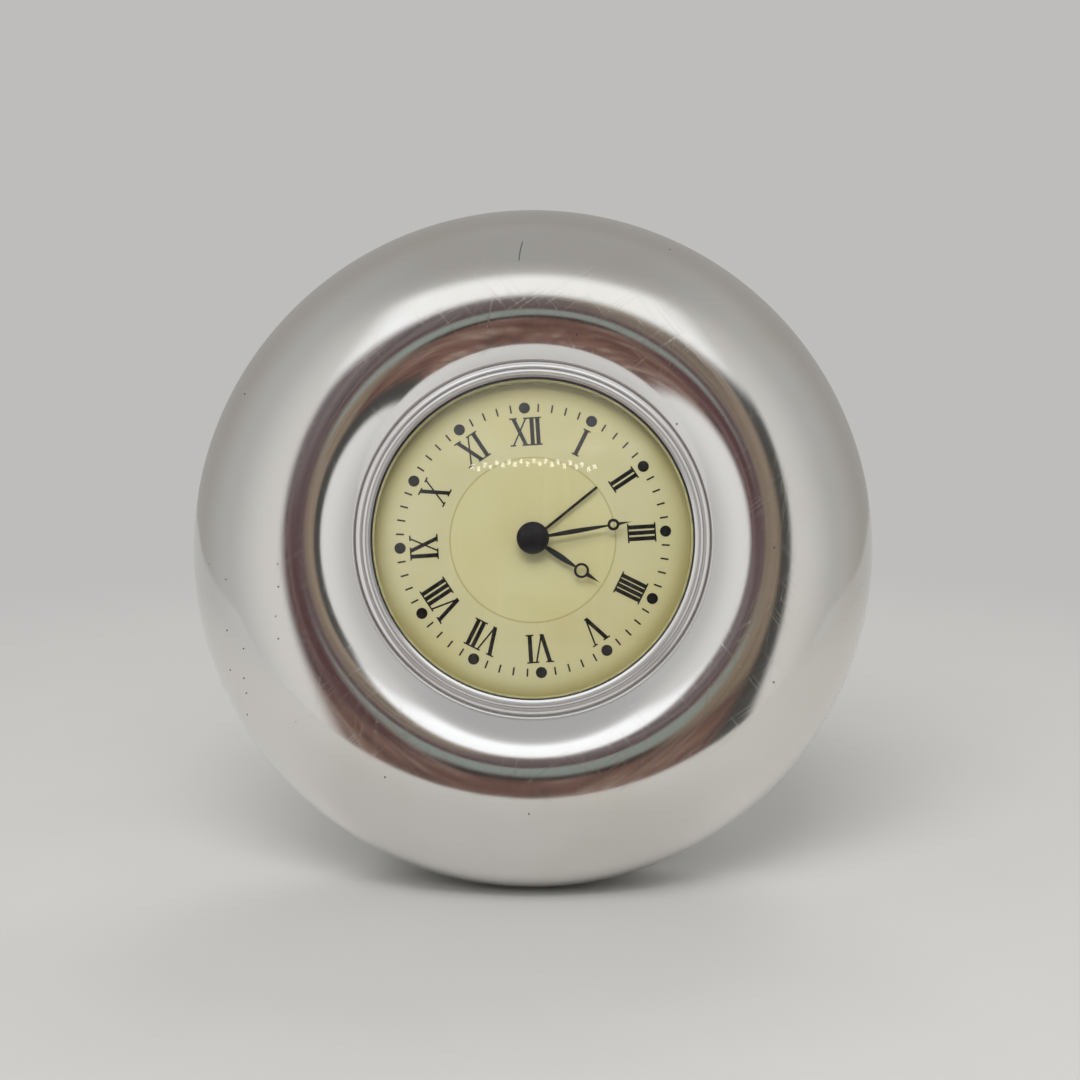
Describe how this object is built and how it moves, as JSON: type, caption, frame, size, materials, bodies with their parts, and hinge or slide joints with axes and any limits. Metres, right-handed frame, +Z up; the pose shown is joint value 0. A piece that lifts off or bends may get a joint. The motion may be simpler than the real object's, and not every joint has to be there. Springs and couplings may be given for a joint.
{
  "type": "desk alarm clock",
  "caption": "Round free-standing desk alarm clock: rolled silver-plated case, domed lens, printed dial, geared hands, rear setting knobs and a folding foot.",
  "frame": {"origin": "centre of the part's box at floor level, under the clock where it stands", "axes": "+Z up, +X to the right seen from the front, the dial faces -Y and leans back 15 degrees"},
  "size_m": [0.112, 0.0558, 0.1095],
  "materials": {
    "silver_plate": "polished silver plate on brass with fine hairlines and a few pits",
    "chrome_trim": "bright turned chrome",
    "clear_lens": "clear domed acrylic",
    "printed_dial": "pale yellow-green satin lacquer with black print",
    "spacer_plastic": "olive moulded ring",
    "black_enamel": "black satin enamel",
    "black_case_plastic": "fine-textured black moulding",
    "knob_plastic": "black moulding, lightly polished",
    "satin_steel": "satin nickel-plated steel sheet",
    "bright_steel": "bright steel",
    "brass_work": "turned and stamped brass",
    "white_gear_plastic": "natural white moulding",
    "grey_plate_plastic": "grey glass-filled moulding",
    "copper_wire": "enamelled copper wire",
    "green_board": "green lacquered board",
    "black_resin": "cured resin drop",
    "dark_magnet": "sintered magnet",
    "black_rubber": "black rubber band"
  },
  "bodies": {
    "case": {"shell": "silver_plate", "back_plate": "satin_steel", "back_plate_screws": "bright_steel", "clinch_nuts": "bright_steel", "hinge_pin": "bright_steel", "insert_case": "black_case_plastic", "grip_ring": "black_rubber", "bezel": "chrome_trim", "lens": "clear_lens", "dial_spacer": "spacer_plastic", "dial": "printed_dial", "front_plate": "grey_plate_plastic", "rear_plate": "grey_plate_plastic", "plate_screws": "bright_steel", "alarm_contact": "bright_steel", "stator": "bright_steel", "coil_core": "bright_steel", "coil_bobbin": "white_gear_plastic", "coil_winding": "copper_wire", "circuit_board": "green_board", "chip": "black_resin", "crystal": "bright_steel", "button_cell": "bright_steel", "cell_contact_front": "bright_steel", "cell_contact_side": "bright_steel", "sounder": "brass_work"},
    "foot": {"stand_leg": "satin_steel"},
    "minute": {"minute_arbor": "brass_work", "clutch_spring": "bright_steel", "minute_hand": "black_enamel", "hub_cap": "black_enamel"},
    "motion": {"minute_wheel": "white_gear_plastic"},
    "hour": {"hour_wheel": "white_gear_plastic", "hour_hand": "black_enamel"},
    "time_setting": {"time_set_shaft": "white_gear_plastic", "time_set_knob": "knob_plastic"},
    "alarm": {"alarm_wheel": "white_gear_plastic", "alarm_hand": "black_enamel"},
    "alarm_setting": {"alarm_set_shaft": "white_gear_plastic", "alarm_set_knob": "knob_plastic"},
    "rotor": {"rotor_pinion": "white_gear_plastic", "rotor_magnet": "dark_magnet"},
    "intermediate": {"intermediate_wheel": "white_gear_plastic"},
    "seconds": {"seconds_wheel": "white_gear_plastic"},
    "third": {"third_wheel": "white_gear_plastic"},
    "centre": {"centre_wheel": "white_gear_plastic"},
    "cell_cover": {"cell_cap": "black_case_plastic"},
    "alarm_slide": {"alarm_switch": "knob_plastic"}
  },
  "joints": [
    {"name": "foot_fold", "type": "hinge", "parent": "case", "child": "foot", "pos_m": [0, 0.00876, 0.02152], "axis": [-1, 0, 0], "range_deg": [0, 40]},
    {"name": "minute_turn", "type": "hinge", "parent": "case", "child": "minute", "pos_m": [0, -0.00762, 0.05697], "axis": [0, 0.9659, -0.2588], "continuous": true},
    {"name": "motion_wheel_turn", "type": "hinge", "parent": "case", "child": "motion", "pos_m": [-0.00659, -0.00837, 0.05417], "axis": [0, 0.9659, -0.2588], "continuous": true},
    {"name": "hour_turn", "type": "hinge", "parent": "case", "child": "hour", "pos_m": [0, -0.00762, 0.05697], "axis": [0, 0.9659, -0.2588], "continuous": true},
    {"name": "time_set_turn", "type": "hinge", "parent": "case", "child": "time_setting", "pos_m": [-0.00861, -0.01016, 0.04749], "axis": [0, 0.9659, -0.2588], "continuous": true},
    {"name": "alarm_set_turn", "type": "hinge", "parent": "case", "child": "alarm_setting", "pos_m": [0.00326, -0.00954, 0.0498], "axis": [0, 0.9659, -0.2588], "continuous": true},
    {"name": "alarm_turn", "type": "hinge", "parent": "case", "child": "alarm", "pos_m": [0, -0.00762, 0.05697], "axis": [0, 0.9659, -0.2588], "continuous": true},
    {"name": "rotor_turn", "type": "hinge", "parent": "case", "child": "rotor", "pos_m": [0.0087, -0.00847, 0.05378], "axis": [0, 0.9659, -0.2588], "continuous": true},
    {"name": "intermediate_turn", "type": "hinge", "parent": "case", "child": "intermediate", "pos_m": [0.00839, -0.00723, 0.05841], "axis": [0, 0.9659, -0.2588], "continuous": true},
    {"name": "seconds_turn", "type": "hinge", "parent": "case", "child": "seconds", "pos_m": [0.00529, -0.00603, 0.06291], "axis": [0, 0.9659, -0.2588], "continuous": true},
    {"name": "third_turn", "type": "hinge", "parent": "case", "child": "third", "pos_m": [-0.00044, -0.00586, 0.06352], "axis": [0, 0.9659, -0.2588], "continuous": true},
    {"name": "centre_turn", "type": "hinge", "parent": "case", "child": "centre", "pos_m": [0, -0.00762, 0.05697], "axis": [0, 0.9659, -0.2588], "continuous": true},
    {"name": "cell_cap_turn", "type": "hinge", "parent": "case", "child": "cell_cover", "pos_m": [-0.01302, 0.01282, 0.05944], "axis": [0, 0.9659, -0.2588], "range_deg": [0, 60]},
    {"name": "alarm_switch_slide", "type": "slide", "parent": "case", "child": "alarm_slide", "axis": [-0.0645, 0.2583, 0.9639], "range_m": [0, 0.004]}
  ],
  "couplings": [
    {"joint": "motion_wheel_turn", "follows": "minute_turn", "ratio": -0.33333},
    {"joint": "hour_turn", "follows": "minute_turn", "ratio": 0.083333},
    {"joint": "time_set_turn", "follows": "minute_turn", "ratio": 1},
    {"joint": "alarm_turn", "follows": "alarm_set_turn", "ratio": -0.5},
    {"joint": "intermediate_turn", "follows": "rotor_turn", "ratio": -0.2},
    {"joint": "seconds_turn", "follows": "rotor_turn", "ratio": 0.033333},
    {"joint": "third_turn", "follows": "rotor_turn", "ratio": -0.0041667},
    {"joint": "centre_turn", "follows": "rotor_turn", "ratio": 0.00055556}
  ]
}
